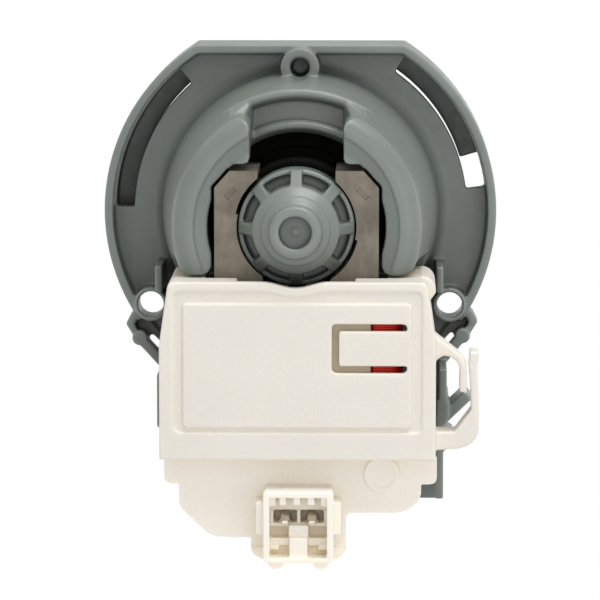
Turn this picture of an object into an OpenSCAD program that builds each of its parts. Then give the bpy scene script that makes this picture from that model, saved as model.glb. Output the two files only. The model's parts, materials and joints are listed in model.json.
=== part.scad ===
// Drain pump of a washing machine, with a canned synchronous motor.
// The pump axis is Y and Z points up. The origin lies where the axis crosses the mounting face.
// The motor is behind that face, at -Y, and the impeller is in front of it, at +Y.
// Solids are drawn tail up: x to the right, y up the pump, z the depth behind the mounting face.

/* [Flange] */
// Radius of the mounting flange
flange_r = 49; // [47:0.5:54]
// Height of the flat edge above the axis
flat_top = 41.5; // [41:0.5:44]
// Thickness of the mounting plate
plate_t = 3; // [2:0.5:5]
// Thickness of the rim
rim_t = 2.2; // [1.5:0.1:3]
// How far the rim stands behind the mounting face
rim_back = 8; // [5:0.5:12]
// How far the skirt reaches in front of the mounting face
skirt_front = 12; // [10:0.5:16]
// Gap in the rim beside each strut: first angle from the right, span
rim_gap = [305, 20.5];

/* [Bayonet hooks] */
// Middle angle of each hook, counted from the right
hook_angles = [31.5, 155, 273];
// Angle left open before each hook lip
hook_entries = [9.5, -2, 9.5];
// Angle that each moulding slot spans
slot_span = 48.5; // [30:0.5:52]
// Inner radius of the hook lips and slots
hook_in_r = 41.8; // [41:0.1:43]
// Thickness of a hook lip
hook_t = 3; // [2:0.5:4]
// Wall between a slot and the rim
slot_web = 0.3; // [0.2:0.1:1]

/* [Screw bosses] */
// Distance of a lower screw boss from the middle
screw_x = 37.4; // [36.5:0.1:38.5]
// Depth of the lower screw bosses below the axis
screw_drop = 23.4; // [22:0.1:25]
// Radius of a screw hole
screw_hole_r = 3.2; // [2:0.1:3.6]
// Radius of a screw boss
screw_boss_r = 4.3; // [4:0.1:5]
// How far a screw boss stands behind the mounting face
screw_boss_back = 9.5; // [6:0.5:14]
// Height of the top peg boss above the axis
peg_rise = 36; // [34.5:0.1:36.5]
// Radius of the blind peg hole
peg_hole_r = 2.35; // [1.5:0.05:3]
// Radius of the peg boss
peg_boss_r = 4.85; // [4:0.05:5.2]
// How far the peg boss stands behind the mounting face
peg_boss_back = 11; // [8:0.5:16]
// Wall in front of the blind peg hole
peg_floor_t = 2; // [1:0.1:3]
// Room round a peg behind its boss
peg_room = 0.5; // [0.3:0.1:1]
// Room round a screw boss in the skirt
skirt_room = 0.8; // [0.6:0.1:1.2]
// Rib above each screw boss: distance from the middle, thickness, height, depth
boss_rib = [33.9, 1.8, 6.6, 20];

/* [Motor housing] */
// Radius of the housing at its foot
housing_foot_r = 34.7; // [34:0.1:36]
// Radius of the housing at the crest of the horns
housing_top_r = 30.2; // [29:0.1:31]
// Fillet at the foot of the housing
foot_fillet = 3; // [1:0.5:4]
// How far the horns stand behind the mounting face
horn_back = 47; // [44:0.5:50]
// Width of the gap between the horns
horn_gap = 22.6; // [20:0.1:26]
// How far the horns reach below the axis
horn_drop = 11.5; // [8:0.1:11.7]
// Inner radius of the horns
horn_in_r = 21.5; // [21:0.1:23]
// Rounding of the horns' corners
horn_corner_r = 2.8; // [1:0.1:4]
// Rounding of the horns' lower ends: outer corner, inner corner
horn_low_r = [4.4, 2.4];
// Rounding of the horns' crest
crest_r = 4; // [2:0.1:5]
// Fall of the crest towards the inside
crest_fall = 1.6; // [0.5:0.1:3]
// Depth of the ledge between the horns
ledge_back = 28.5; // [26:0.5:34]
// Sunk floor of the ledge: inner radius, outer radius, depth
ledge_sunk = [24.7, 29.4, 1.2];
// Wall round the hollows on the front side
housing_wall = 2.6; // [2:0.1:3.4]

/* [Rotor can] */
// Outer radius of the can
can_r = 14.1; // [13.6:0.05:14.5]
// Wall of the can
can_wall = 1.5; // [1:0.1:2]
// How far the rim of the can stands behind the mounting face
can_back = 45; // [43:0.5:47]
// Width of the can's rim
can_rim_w = 1.3; // [1:0.1:2.4]
// Depth of the groove inside the rim
can_groove = 1.4; // [1:0.1:2.4]
// Radius of the neck
neck_r = 10.5; // [10:0.1:11]
// Height of the neck over the rim
neck_h = 7; // [5:0.5:8]
// Radius of the tail boss
tail_r = 6.4; // [5.5:0.1:7]
// Height of the tail boss over the neck
tail_h = 6; // [5:0.5:7]
// Radius of the recess in the tail boss
tail_hole_r = 3.85; // [2.5:0.05:4.2]
// Depth of the recess in the tail boss
tail_hole_depth = 3; // [2:0.1:3.4]
// Number of ribs round the neck
neck_ribs = 8; // [4:1:12]
// Width of a neck rib
neck_rib_w = 2.9; // [1.5:0.1:3.5]

/* [Stator] */
// Width of the core across its legs
core_w = 39.6; // [38:0.1:40]
// Width of a leg
leg_w = 11.6; // [10:0.1:12]
// Height of the core above the axis
core_rise = 13.6; // [12.5:0.1:14]
// Depth of the core's lower edge below the axis
core_drop = 54.2; // [52:0.1:54.3]
// Height of the yoke that joins the legs
yoke_h = 11.6; // [9:0.1:12]
// Thickness of the stack
stack_t = 23; // [20:0.5:24]
// How far the core stands behind the mounting face
core_back = 45; // [44:0.5:46]
// Chamfer of the core's upper corners: width, height
core_chamfer = [3.7, 4.1];
// Gap between the can and the poles
pole_gap = 0.35; // [0.3:0.05:1]
// Depth of the step in each pole face
pole_step = 0.6; // [0.4:0.1:1.2]
// Width of the opening between the pole tips
pole_opening = 18.8; // [16:0.1:21]
// Interlock dimple of the laminations: length, width, depth
dimple = [3.4, 1.3, 0.3];
// Place of a dimple: distance from the middle, height above the axis
dimple_place = [15.9, 8.2];
// Room between the core and the horns
core_room = 0.7; // [0.3:0.1:1]
// Thickness of the rubber damper's base
damper_t = 1.5; // [1:0.1:2.5]
// Thickness of the rubber damper's sleeve
damper_sleeve_t = 1.3; // [0.8:0.1:2]
// How far the sleeve stays below the can's rim
damper_sleeve_drop = 7; // [4:0.5:12]
// Radius and height of the pad at the sleeve's foot
damper_pad = [17.5, 2];

/* [Coils] */
// Wall of a bobbin's tube
bobbin_wall = 1; // [0.8:0.1:1.5]
// Thickness of a bobbin's flange
bobbin_flange_t = 1.2; // [0.8:0.1:2]
// How far a bobbin's flange stands over its winding
bobbin_lip = 0.7; // [0.4:0.1:1]
// Build of the inner winding
coil_build = 3.4; // [2:0.1:3.6]
// Corner radius of the outer layer of wire
coil_corner_r = 3; // [2:0.1:4]
// Radius of the wire in the outer layer
wire_r = 0.3; // [0.25:0.01:0.35]
// Most turns in the outer layer
most_turns = 24; // [6:1:24]
// Thermal protector: width, height, thickness
protector = [11.5, 17.5, 2.8];
// Right edge of the thermal protector
protector_right = 18; // [16:0.1:20]
// Upper edge of the thermal protector below the axis
protector_drop = 19.5; // [17:0.1:21]
// Radius of the lead wires
lead_r = 0.6; // [0.4:0.05:0.8]

/* [Coil cover] */
// Depth of the cover's upper edge below the axis
cover_top_drop = 12.1; // [12:0.1:13]
// Depth of the cover's lower edge below the axis
cover_low_drop = 55.1; // [55:0.1:56]
// Reach of the cover to the left
cover_left = 32.7; // [32:0.1:32.8]
// Reach of the cover to the right
cover_right = 33.6; // [33:0.1:34]
// How much narrower each side is at the top
cover_taper = 2; // [1:0.1:3]
// Depth below the axis where the taper ends
cover_taper_drop = 27.5; // [24:0.5:34]
// Wall of the cover
cover_wall = 1.6; // [1.2:0.1:2]
// Thickness of the cover's panel
panel_t = 1.8; // [1.4:0.1:2.4]
// Depth of the sides behind the panel's outer face
cover_side_d = 33; // [20:0.5:34]
// Depth of the top wall beside the can
cover_top_d = 9; // [5:0.5:9.5]
// Depth of the top wall below the can
cover_mid_d = 3; // [2:0.1:3.4]
// Half width and depth of the dip below the can
cover_dip = [8, 1.4];
// Distance from the middle where the top wall becomes as deep as the sides
shoulder_in = 22; // [21:0.5:24]
// Right shoulder: corner radius, height of its straight side, height of its foot, depth behind the panel
shoulder = [3.4, 4.2, 7, 11.4];
// Corner radius of the cover
cover_corner_r = 1.6; // [0.5:0.1:2.5]
// Raised pad: left, right, upper and lower edge
pad_box = [-27, 27.7, -17.2, -47.2];
// Sunk border round the pad: left, right, upper and lower edge
border_box = [-29.3, 30.3, -14.3, -48.4];
// Corner radius of the border
border_corner_r = 1.6; // [0.5:0.1:3]
// How far the border is sunk
border_depth = 0.6; // [0.2:0.1:0.9]
// How far the pad stands over the border
pad_h = 0.9; // [0.4:0.1:1.5]
// Corner radius of the pad
pad_corner_r = 1.2; // [0.5:0.1:3]
// Slot round the tongue: left, right, upper and lower edge
tongue_box = [8.7, 26.7, -22.1, -33.9];
// Width of the slot round the tongue
tongue_slot = 1.7; // [1:0.1:2.5]

/* [Cable clip] */
// Width of the clip along the pump axis
clip_w = 8; // [5:0.5:9]
// How far the clip lies below the panel's outer face
clip_inset = 2.6; // [1:0.1:5]
// Thickness of the upper hook
clip_t = 1.7; // [1.2:0.1:2.2]
// Upper hook: top and bottom of its root, height of its bend, height of its tip
upper_hook_z = [-24.6, -31.9, -33.6, -39.1];
// Outer radius of the upper hook's bend
clip_bend = 5.2; // [3:0.1:5.6]
// Lower hook: bottom and top of its root, height of its bend, height of its tip
lower_hook_z = [-53, -48.4, -47.4, -29.2];
// Reach of the upper hook beyond the cover
clip_reach = 7.4; // [6.5:0.1:7.6]
// Thickness of the lower finger
finger_t = 2.3; // [1.6:0.1:2.6]
// Gap between the upper hook and the lower finger
clip_mouth = 0.7; // [0.4:0.1:1.4]

/* [Terminal carrier] */
// Thickness of the plate
carrier_t = 2.4; // [1.6:0.1:3]
// Gap between the bobbins and the plate's upper edge
carrier_gap = 0.6; // [0.3:0.1:2]
// Room between the plate and the cover's walls
carrier_room = 0.6; // [0.2:0.1:1]
// Thickness of the tray under the yoke
tray_t = 1.5; // [1:0.1:1.8]
// Depth of the tray along the pump axis
tray_d = 20; // [10:0.5:22]
// Half width of the tray
tray_half_w = 28; // [26:0.5:29]
// Ribs under the tray: thickness, height, depth
tray_rib = [1.6, 11.8, 6];
// Places of the ribs under the tray
tray_rib_x = [-18, 14];
// Spigot mark: x, z, radius, height
mark = [20.7, -59.8, 4.35, 0.7];

/* [Plug socket] */
// Middle of the socket
socket_x = 0.7; // [0:0.1:1.5]
// Outer width of the socket
socket_w = 16.8; // [16:0.1:18]
// Height of the blades
blade_z = -70.2; // [-71:0.1:-69]
// How far the socket's upper edge lies above the blades
socket_rise = 7.9; // [7.6:0.1:8.4]
// How far the socket's lower edge lies below the blades
socket_fall = 9.4; // [9:0.1:10]
// Wall at the sides and the top
socket_wall = 1.5; // [1:0.1:1.8]
// Wall at the bottom
socket_floor_t = 1.1; // [0.8:0.1:1.6]
// How far the socket's mouth stands behind the mounting face
socket_back = 58; // [55:0.5:62]
// Depth of the socket's hollow
socket_depth = 12; // [9:0.5:13]
// Depth of the housing behind the plate's front face
socket_root = 8; // [5:0.5:12]
// Distance between the two blades
blade_pitch = 6.5; // [5:0.1:7]
// Blade: width, thickness
blade = [2.8, 0.8];
// How far a blade's tip lies inside the mouth
blade_inset = 3; // [2:0.5:6]
// How deep the guides below sit in the socket's walls
guide_sink = 0.2;
// Tooth that hangs from the top wall: width, height, depth behind the mouth
socket_tooth = [1.6, 2, 0.6];
// Distance between the teeth
tooth_pitch = 3.4; // [2.5:0.1:3.6]
// How far the middle tooth stands left of the socket's middle
tooth_shift = 0.3;
// Step in each upper corner: width, height, depth behind the mouth
corner_step = [1.7, 2.4, 1.2];
// Rail on each side wall: width, height, drop of its middle below the blades, depth behind the mouth
side_rail = [2.4, 1.4, 6.4, 4.4];
// Stepped block in the hollow, from the top down: lower edge over the blades, depth behind the mouth
socket_steps = [[2.4, 6.5], [-0.6, 6], [-1.4, 5.5], [-4.2, 8.5], [-6.1, 5], [-9, 6.5]];
// Chamber round each blade: post between the two, reach below the blade, reach above it
chamber = [0.9, 0.6, 2.4];
// Latch block: width, height, fall of its upper edge below the blades, depth behind the mouth
latch_block = [4.8, 3, 0.9, 4];
// Key block on the floor: width, height, depth behind the mouth
key_block = [4.4, 4.8, 2];
// Latch ear at each side: width, height, rise of its middle above the blades
latch_ear = [2.2, 7.8, 0.9];
// Half-round feet: distance from the middle, radius
socket_foot = [5.4, 2.1];

/* [Stator cradle] */
// Room between the cover and the left cheek
cheek_room_left = 0.4; // [0.2:0.1:1]
// Room between the cover and the right cheek
cheek_room_right = 1.1; // [1:0.1:2]
// How far the right cheek's lower part stands in
cheek_step = 0.8; // [0.4:0.1:0.8]
// Thickness of a cheek
cheek_t = 1.9; // [1.4:0.1:2]
// How far the cheeks stand behind the mounting face
cheek_back = 26; // [20:0.5:30]
// Lower end of the left cheek
cheek_left_low = -52; // [-54:0.5:-48]
// Lower end of the right cheek
cheek_right_low = -69.6; // [-72:0.1:-66]
// Height where the right cheek steps in
cheek_step_z = -51; // [-52:0.1:-50]
// Heights where the left and the right strut meet the cheeks
knee_z = [-38.6, -37.2];
// Lower edge of the back plate
apron_low = -73.6; // [-76:0.1:-71]
// Place of the step in the back plate's lower edge
apron_step = [10, -66];
// Neck of the back plate between the struts: half width, height
apron_neck = [31.5, -35];
// Root of the back plate in the flange: half width, height
apron_root = [30, -22];
// Heads of the left and the right strut
strut_heads = [[-40.2, -31.9], [40.7, -31.1]];
// Radius of a strut's head
strut_head_r = 1.9; // [1.5:0.1:2.2]
// Outer corners of the flange's ears beside the left and the right strut
ear_corners = [[-43.8, -28.6], [44.5, -27.8]];
// Ear from its outer corner, outwards and up: upper edge, outer and inner root, inner edge, lower end
ear_points = [[-1.2, 2.4], [-2.6, 3.4], [-3.4, 2.2], [-2.3, 0], [-1.75, -2.8]];
// Front and back of a strut along the pump axis
strut_span = [4.6, 10];
// Thickness of a strut
strut_t = 2.4; // [1.8:0.1:2.6]
// Root and tip of the free prong beside the right cheek
prong_ends = [[35.6, -50.6], [42, -44.4]];
// Thickness of the prong
prong_t = 2.7; // [2:0.1:3]
// Foot block on the right cheek: height of its middle, height, thickness over the cheek
foot_block = [-47.4, 4.6, 1.2];
// Wedge on the right cheek: upper end, upper corner, lower corner, lower end, reach
cheek_wedge = [-53, -55, -56, -58.4, 2.6];

/* [Bearings] */
// Radius of the motor shaft
shaft_r = 2.5; // [2:0.1:2.8]
// Outer radius of a bush
bush_r = 4.6; // [4.2:0.1:5]
// Length of the rear bush
rear_bush_l = 6.4; // [5:0.1:7]
// Length of the front bush
front_bush_l = 10.5; // [8:0.5:11]
// Radius of the rear bush holder
holder_r = 8.5; // [7.5:0.1:8.6]
// Radius of the front bearing carrier
bearing_r = 17.2; // [16:0.1:18]
// How far the front bearing carrier goes into the body
bearing_in = 6; // [5:0.1:7]
// Radius and thickness of its flange
bearing_flange = [19.6, 1.5];
// Section radius of the carrier's sealing ring
ring_r = 1.2; // [0.9:0.1:1.4]
// Thickness of a thrust washer
washer_t = 1.2; // [0.8:0.1:1.4]

/* [Rotor] */
// Outer radius of the magnet
magnet_r = 11.7; // [11:0.1:12]
// Inner radius of the magnet
magnet_in_r = 6; // [5:0.1:7]
// Room between the rotor and the end of the can
rotor_room = 1; // [0.6:0.1:2]
// Thickness of the carrier's end flanges
rotor_end_t = 1.6; // [1.2:0.1:2]
// Radius of the carrier's end flanges
rotor_flange_r = 10.8; // [9:0.1:11]
// Radius and length of the drive dog's hub
dog_hub = [4.1, 7.6];
// Angle that a dog spans
dog_span = 45; // [30:1:60]

/* [Impeller] */
// Radius over the vanes
impeller_r = 21.5; // [18:0.5:26]
// Number of vanes
vane_count = 6; // [4:1:9]
// Thickness of a vane
vane_t = 1.7; // [1.2:0.1:2.5]
// Height of a vane along the axis
vane_h = 10.5; // [8:0.5:12]
// Radius of the plate behind the vanes
plate_r = 13.4; // [12:0.1:17]
// Thickness of the plate behind the vanes
vane_plate_t = 1.5; // [1:0.1:2]
// Outer radius of the hub
hub_r = 9.6; // [9:0.1:11]
// Wall of the hub
hub_wall = 1.9; // [1.4:0.1:2.4]
// Thickness of the hub's rear wall and cap
hub_end_t = 1.6; // [1.2:0.1:2]
// Angle that each cheek of the rubber buffer spans
buffer_span = 12; // [8:1:20]

/* [Front side] */
// Radius of the sealing spigot
spigot_r = 35; // [34.5:0.1:35.4]
// Wall of the spigot
spigot_wall = 2.4; // [1.8:0.1:3]
// Length of the spigot
spigot_l = 8; // [5:0.5:9]
// Section of the flange seal: width, height
seal = [2.4, 2.4];
// How deep the seal sits in its groove
seal_sunk = 0.8; // [0.4:0.1:1.2]
// Distance from the spigot to the seal
seal_room = 1; // [0.8:0.1:1.4]

/* [Clearances] */
// Clearance between pieces that are assembled by hand
fit_gap = 0.2; // [0.1:0.05:0.3]
// Clearance between pieces that are pressed together
press_gap = 0.02; // [0.01:0.01:0.05]
// Radial clearance of the running fits
run_gap = 0.05; // [0.02:0.01:0.1]
// End play between turning pieces
end_play = 0.35; // [0.3:0.05:0.6]
// Room between the dog and the hub, and between its hub and the stop
dog_room = 0.45; // [0.3:0.05:0.6]

/* [Hidden] */
$fn = 96;
// Length that reaches past every solid
far = 200;
// Small step that lets joined or cut volumes cross
cross_by = 0.6;
// Setback of an edge from the face beside it
setback = 0.3;
body_grey = [0.44, 0.48, 0.47];
cover_white = [0.92, 0.90, 0.85];
steel_brown = [0.50, 0.47, 0.43];
wire_red = [0.62, 0.10, 0.08];
rubber_black = [0.07, 0.07, 0.07];

// Places along the axis, as depth behind the mounting face
core_front = core_back - stack_t;
floor_back = core_front - damper_t;
neck_back = can_back + neck_h;
tail_back = neck_back + tail_h;
tail_floor = tail_back - tail_hole_depth;
can_in_r = can_r - can_wall;
can_in_back = can_back - can_groove - can_wall;
holder_back = neck_back - can_wall;
shaft_back = tail_floor - 2 * can_wall;
holder_front = holder_back - rear_bush_l;
bearing_front = -bearing_flange[1];
front_bush_back = bearing_front + front_bush_l;
rotor_front = front_bush_back + 2 * end_play + washer_t;
rotor_back = can_in_back - rotor_room;
rear_washer_front = holder_front - end_play - washer_t;
magnet_front = rotor_front + rotor_end_t;
magnet_back = rotor_back - rotor_end_t;
hub_back = bearing_front - 2;
chamber_back = hub_back - hub_end_t;
dog_back = chamber_back - end_play;
dog_front = dog_back - dog_hub[1];
chamber_front = dog_front - 2 * end_play;
cap_front = chamber_front - hub_end_t;
seal_in_r = spigot_r + seal_room;

// Coil layout
leg_x = core_w / 2 - leg_w / 2;
core_mid_d = (core_front + core_back) / 2;
yoke_top = -core_drop + yoke_h;
bobbin_low = yoke_top;
bobbin_top = min(-cover_top_drop - cover_wall, -can_r) - fit_gap;
winding_low = bobbin_low + bobbin_flange_t;
winding_top = bobbin_top - bobbin_flange_t;
tube_half = [leg_w / 2 + fit_gap + bobbin_wall, stack_t / 2 + fit_gap + bobbin_wall];
skin_gap = 0.15;
wire_half = [for (h = tube_half) h + press_gap + coil_build + skin_gap + wire_r];
flange_half = [for (h = wire_half) h + wire_r + bobbin_lip];
wire_pitch_least = 2 * wire_r + 0.43;
wire_room = winding_top - winding_low - 4 * wire_r;
turns = min(most_turns, floor(wire_room / wire_pitch_least));
wire_pitch = wire_room / turns;
corner_steps = 2;
coil_back = core_mid_d + wire_half[1] + wire_r;

// Cover depths
panel_front = coil_back + fit_gap + protector[2] + fit_gap;
panel_back = panel_front + panel_t;
border_back = panel_back - border_depth;
pad_back = border_back + pad_h;
cover_front = panel_back - cover_side_d;
clip_back = panel_back - clip_inset;
clip_front = clip_back - clip_w;
coil_floor = core_mid_d - flange_half[1] - fit_gap;

// Cheeks of the cradle
cheek_left = cover_left + cheek_room_left + cheek_t;
cheek_right = cover_right + cheek_room_right + cheek_t;

// Terminal carrier
carrier_back = core_back + carrier_t;
carrier_top = bobbin_low - carrier_gap;
socket_z = [blade_z + socket_rise, blade_z - socket_fall];
socket_left = socket_x - socket_w / 2;
socket_right = socket_x + socket_w / 2;
hollow_floor = socket_back - socket_depth;
socket_front = core_back - socket_root;
blade_back = socket_back - blade_inset;
blade_front = socket_front - 3;
lead_x = core_w / 2 + 3;
lead_d = core_back - 4;

function unit(v) = v / norm(v);
function arc(cx, cy, r, from, to, steps) =
  [for (i = [0:steps]) let (a = from + (to - from) * i / steps) [cx + r * cos(a), cy + r * sin(a)]];
// Corner points of a rounded rectangle about a middle point
function rounded_points(mid, half, r, steps) =
  concat(
    arc(mid[0] + half[0] - r, mid[1] + half[1] - r, r, 0, 90, steps),
    arc(mid[0] - half[0] + r, mid[1] + half[1] - r, r, 90, 180, steps),
    arc(mid[0] - half[0] + r, mid[1] - half[1] + r, r, 180, 270, steps),
    arc(mid[0] + half[0] - r, mid[1] - half[1] + r, r, 270, 360, steps)
  );
// Rounded outline of a box given by its left, right, upper and lower edge
function box_points(b, r) =
  rounded_points([(b[0] + b[1]) / 2, (b[2] + b[3]) / 2], [(b[1] - b[0]) / 2, (b[2] - b[3]) / 2], r, 5);

// Lays the tail-up drawing along the pump axis
module lay() {
  rotate([90, 0, 0]) children();
}

// Extrudes an outline of the rear view between two depths
module between(front, back) {
  translate([0, 0, front]) linear_extrude(back - front) children();
}

// Extrudes a plan of x and depth between two heights
module upright(low, high) {
  rotate([90, 0, 0]) translate([0, 0, -high]) linear_extrude(high - low) children();
}

module ring(r_in, r_out, front, back) {
  rotate_extrude() translate([r_in, front]) square([r_out - r_in, back - front]);
}

module ring_sector(r_in, r_out, from, span, front, back) {
  rotate([0, 0, from]) rotate_extrude(angle = span) translate([r_in, front])
    square([r_out - r_in, back - front]);
}

module both_sides() {
  for (side = [0, 1]) mirror([side, 0, 0]) children();
}

// Tube of six sides along a list of points
module tube(path, r) {
  sides = 6;
  last = len(path) - 1;
  tangents = [for (i = [0:last]) unit(path[min(i + 1, last)] - path[max(i - 1, 0)])];
  start = unit(cross(tangents[0], [0.3, 0.5, 0.8]));
  normals = [
    for (i = 0, n = start; i <= last; i = i + 1, n = i > last ? n : n - tangents[i] * (n * tangents[i]))
      unit(n - tangents[i] * (n * tangents[i]))
  ];
  rings = [
    for (i = [0:last], k = [0:sides - 1])
      let (a = k * 360 / sides, b = cross(tangents[i], normals[i]))
        path[i] + r * (cos(a) * normals[i] + sin(a) * b)
  ];
  wall = [
    for (i = [0:last - 1], k = [0:sides - 1])
      let (p = i * sides + k, q = i * sides + (k + 1) % sides)
        each [[p, p + sides, q + sides], [p, q + sides, q]]
  ];
  front_cap = [for (k = [1:sides - 2]) [0, k, k + 1]];
  back_cap = [for (k = [1:sides - 2]) let (p = last * sides) [p, p + k + 1, p + k]];
  polyhedron(rings, concat(wall, front_cap, back_cap));
}

// Flange with a flat upper edge
module flange_disc(r, top, front, back) {
  intersection() {
    translate([0, 0, front]) cylinder(r = r, h = back - front);
    translate([-r, -r, front]) cube([2 * r, r + top, back - front]);
  }
}

module flange() {
  hook_front = setback - skirt_front;
  flange_disc(flange_r, flat_top, 0, plate_t);
  difference() {
    flange_disc(flange_r, flat_top, -skirt_front, rim_back);
    flange_disc(flange_r - rim_t, flat_top - rim_t, -skirt_front - 1, rim_back + 1);
    // The rim leaves the strut free, and the skirt leaves the screws free
    both_sides() ring_sector(flange_r - rim_t - 1, flange_r + 1, rim_gap[0], rim_gap[1], plate_t - setback,
      rim_back + 1);
    both_sides() translate([screw_x, -screw_drop, -skirt_front - 1])
      cylinder(r = screw_boss_r + skirt_room, h = skirt_front + 1 + setback);
  }
  for (i = [0:len(hook_angles) - 1])
    let (from = hook_angles[i] - slot_span / 2 + hook_entries[i], span = slot_span - hook_entries[i] + 2)
      ring_sector(hook_in_r, flange_r - rim_t + cross_by, from, span, hook_front, hook_front + hook_t);
}

module hook_slots() {
  for (a = hook_angles)
    ring_sector(hook_in_r, flange_r - rim_t - slot_web, a - slot_span / 2, slot_span, -1, plate_t + 1);
}

module screw_bosses() {
  both_sides() translate([screw_x, -screw_drop, 0]) cylinder(r = screw_boss_r, h = screw_boss_back);
  translate([0, peg_rise, 0]) cylinder(r = peg_boss_r, h = peg_boss_back);
}

module screw_holes() {
  both_sides() translate([screw_x, -screw_drop, -1]) cylinder(r = screw_hole_r, h = screw_boss_back + 2);
  translate([0, peg_rise, peg_floor_t]) cylinder(r = peg_hole_r, h = peg_boss_back - peg_floor_t);
  // A wider cut behind the boss lets a peg pass the housing's flank
  translate([0, peg_rise, peg_boss_back - setback]) cylinder(r = peg_hole_r + peg_room, h = ledge_back);
}

// Half section of the housing before the horns are cut free
function housing_profile() =
  let (
    lean = atan((housing_foot_r - housing_top_r) / (horn_back - plate_t)),
    foot_x = housing_foot_r + foot_fillet,
    crest_x = housing_top_r - crest_r,
    crest_d = horn_back - crest_r
  )
  concat(
    [[0, 0], [foot_x, 0]],
    arc(foot_x, plate_t + foot_fillet, foot_fillet, 270, 180 + lean, 6),
    arc(crest_x, crest_d, crest_r, lean, 90, 8),
    [[horn_in_r, horn_back - crest_fall], [0, horn_back - crest_fall]]
  );

// Radius of the housing's flank at a depth
function flank_r(d) =
  housing_foot_r + (housing_top_r - housing_foot_r) * (d - plate_t) / (horn_back - plate_t);

// Cuts one horn's corner to a round one, about the middle of that rounding
module corner_cut(mid, r, edge) {
  between(coil_floor, horn_back + 1)
    difference() {
      polygon(concat([mid], edge));
      translate(mid) circle(r);
    }
}

// Middle of a rounding that meets the housing's crest, at a given distance along x or z
function crest_partner(along, r) =
  let (reach = housing_top_r - r) sqrt(reach * reach - along * along);

module horn_cuts() {
  clear_r = housing_foot_r * 1.3;
  up_x = horn_gap / 2 + horn_corner_r;
  up = [up_x, crest_partner(up_x, horn_corner_r)];
  low_z = -horn_drop + horn_low_r[0];
  low = [crest_partner(low_z, horn_low_r[0]), low_z];
  in_x = core_w / 2 + core_room;
  inner = [in_x + horn_low_r[1], -horn_drop + horn_low_r[1]];
  translate([-horn_gap / 2, 0, ledge_back]) cube([horn_gap, far, far]);
  translate([-far, -far - horn_drop, coil_floor]) cube([2 * far, far, far]);
  intersection() {
    both_sides() corner_cut(up, horn_corner_r,
      [[horn_gap / 2 - 1, up[1]], [horn_gap / 2 - 1, clear_r], unit(up) * clear_r]);
    translate([-far, -far, ledge_back]) cube([2 * far, 2 * far, far]);
  }
  both_sides() corner_cut(low, horn_low_r[0],
    [[low[0], -horn_drop - 1], [clear_r, -horn_drop - 1], unit(low) * clear_r]);
  both_sides() corner_cut(inner, horn_low_r[1],
    [[in_x - 1, inner[1]], [in_x - 1, -horn_drop - 1], [inner[0], -horn_drop - 1]]);
  // Sunk floor of the ledge
  intersection() {
    ring(ledge_sunk[0], ledge_sunk[1], ledge_back - ledge_sunk[2], ledge_back + 1);
    translate([-horn_gap / 2, 0, 0]) cube([horn_gap, far, far]);
  }
  // Room for the stator
  translate([0, 0, floor_back]) cylinder(r = horn_in_r, h = far);
  between(floor_back, far)
    both_sides() polygon([
      [-1, -far], [in_x, -far],
      [in_x, core_rise - core_chamfer[1] + core_room / 2],
      [core_w / 2 - core_chamfer[0] + core_room / 2, core_rise + core_room], [-1, core_rise + core_room]
    ]);
}

// Hollows on the front side, which keep the moulding's walls even
module housing_hollows() {
  low_r = bearing_flange[0] + 2;
  shallow = coil_floor - housing_wall;
  ring(low_r, housing_foot_r - housing_wall - 1, -1, shallow);
  both_sides() rotate([0, 0, -13]) rotate_extrude(angle = 66)
    polygon([
      [horn_in_r + housing_wall, 0], [flank_r(shallow) - housing_wall, 0],
      [flank_r(shallow) - housing_wall, shallow],
      [flank_r(horn_back) - housing_wall - 1, horn_back - crest_r],
      [horn_in_r + housing_wall, horn_back - crest_r]
    ]);
}

// Wall of the rotor can with its stepped tail
module can() {
  rim_in = can_r - can_rim_w;
  edge = 0.6;
  step_r = (neck_r + tail_r) / 2 - 0.2;
  holder_seat_r = holder_r + fit_gap / 4;
  rotate_extrude()
    polygon(concat(
      [[can_in_r, 0], [can_r, 0]],
      arc(can_r - edge, can_back - edge, edge, 0, 90, 4),
      [[rim_in, can_back], [rim_in, can_back - can_groove], [neck_r, can_back - can_groove]],
      arc(neck_r - edge, neck_back - edge, edge, 0, 75, 4),
      [[step_r, neck_back + tail_h * 0.28], [step_r, neck_back + tail_h * 0.36]],
      [[tail_r + edge, neck_back + tail_h * 0.5], [tail_r, neck_back + tail_h * 0.6]],
      arc(tail_r - 1.1, tail_back - 1.1, 1.1, 0, 90, 5),
      arc(tail_hole_r + edge, tail_back - edge, edge, 90, 180, 4),
      [[tail_hole_r, tail_floor], [0, tail_floor], [0, shaft_back + end_play]],
      [[shaft_r + 1, shaft_back + end_play], [shaft_r + 1, holder_back], [holder_seat_r, holder_back]],
      [[holder_seat_r, can_in_back], [can_in_r, can_in_back]]
    ));
  for (i = [0:neck_ribs - 1])
    rotate([0, 0, 90 + i * 360 / neck_ribs]) rotate([90, 0, 0]) translate([0, 0, -neck_rib_w / 2])
      linear_extrude(neck_rib_w)
        polygon([
          [neck_r - edge, neck_back - edge], [neck_r, neck_back - edge], [can_r - 0.2, can_back + 0.8],
          [can_r - 0.2, can_back - 1], [neck_r - edge, can_back - can_groove - 0.2]
        ]);
}

// Bar with parallel edges between two points of the rear view
module bar(from, to, t) {
  side = unit([from[1] - to[1], to[0] - from[0]]) * t / 2;
  polygon([from + side, to + side, to - side, from - side]);
}

// Strut from a cheek to a round head, and the ear in which the flange's rim runs out to that head
module strut(knee, head, corner, side) {
  ear = [for (p = ear_points) corner + [side * p[0], p[1]]];
  between(strut_span[0], strut_span[1]) {
    bar(head, knee, strut_t);
    translate(head) circle(strut_head_r);
    translate(knee) circle(cheek_t / 2);
  }
  between(0, rim_back) polygon([corner, ear[0], ear[1], ear[2], ear[3], head, ear[4]]);
}

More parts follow.
